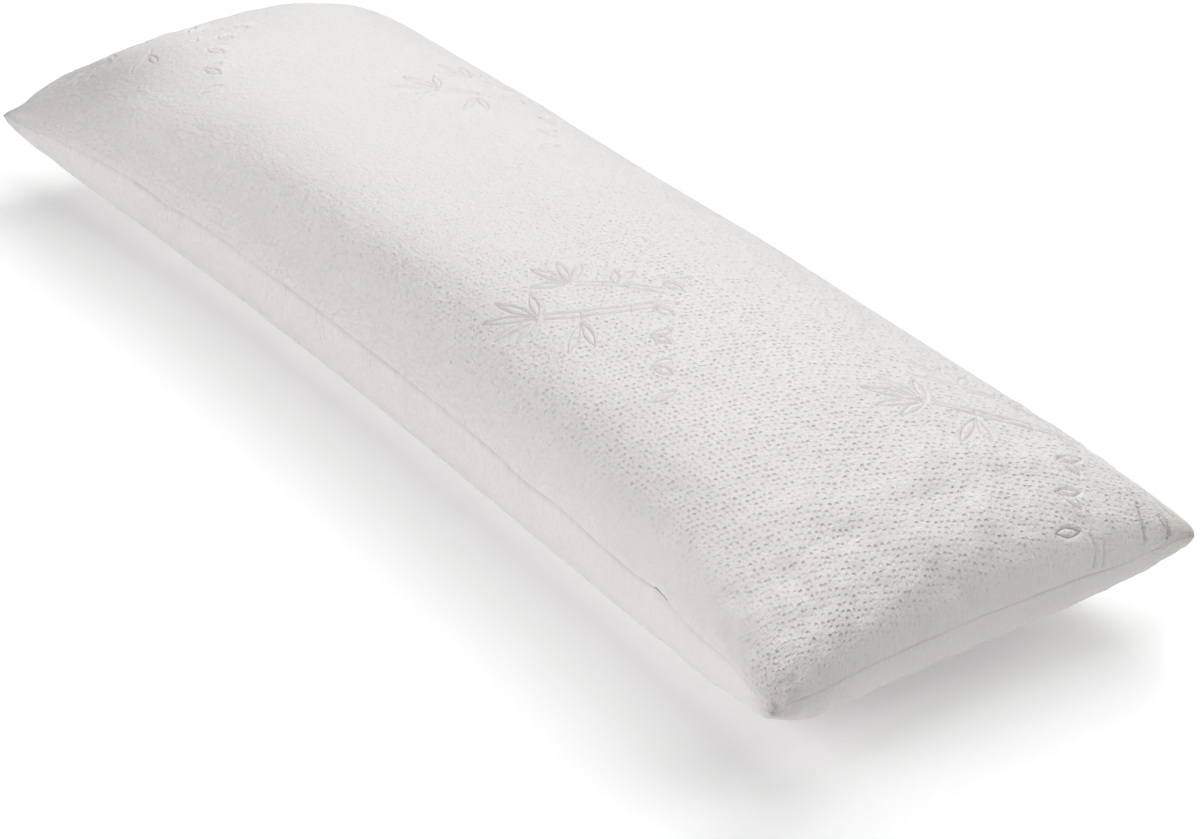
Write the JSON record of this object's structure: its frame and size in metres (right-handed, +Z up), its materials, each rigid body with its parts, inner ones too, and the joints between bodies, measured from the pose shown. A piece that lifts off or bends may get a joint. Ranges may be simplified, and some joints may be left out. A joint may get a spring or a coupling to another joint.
{
  "type": "body pillow",
  "caption": "Long filled body pillow in a soft white knit cover, two panels sewn together on all four sides, lying on its back.",
  "frame": {"origin": "under the middle of the pillow, on the surface it rests on", "axes": "+X along the pillow towards its front end, +Y across it, +Z up from the surface through its thickness"},
  "size_m": [1.35, 0.457, 0.1976],
  "materials": {
    "knit_cover": "matt white jacquard knit with small pin dimples"
  },
  "bodies": {
    "root": {"pillow": "knit_cover"}
  },
  "joints": []
}
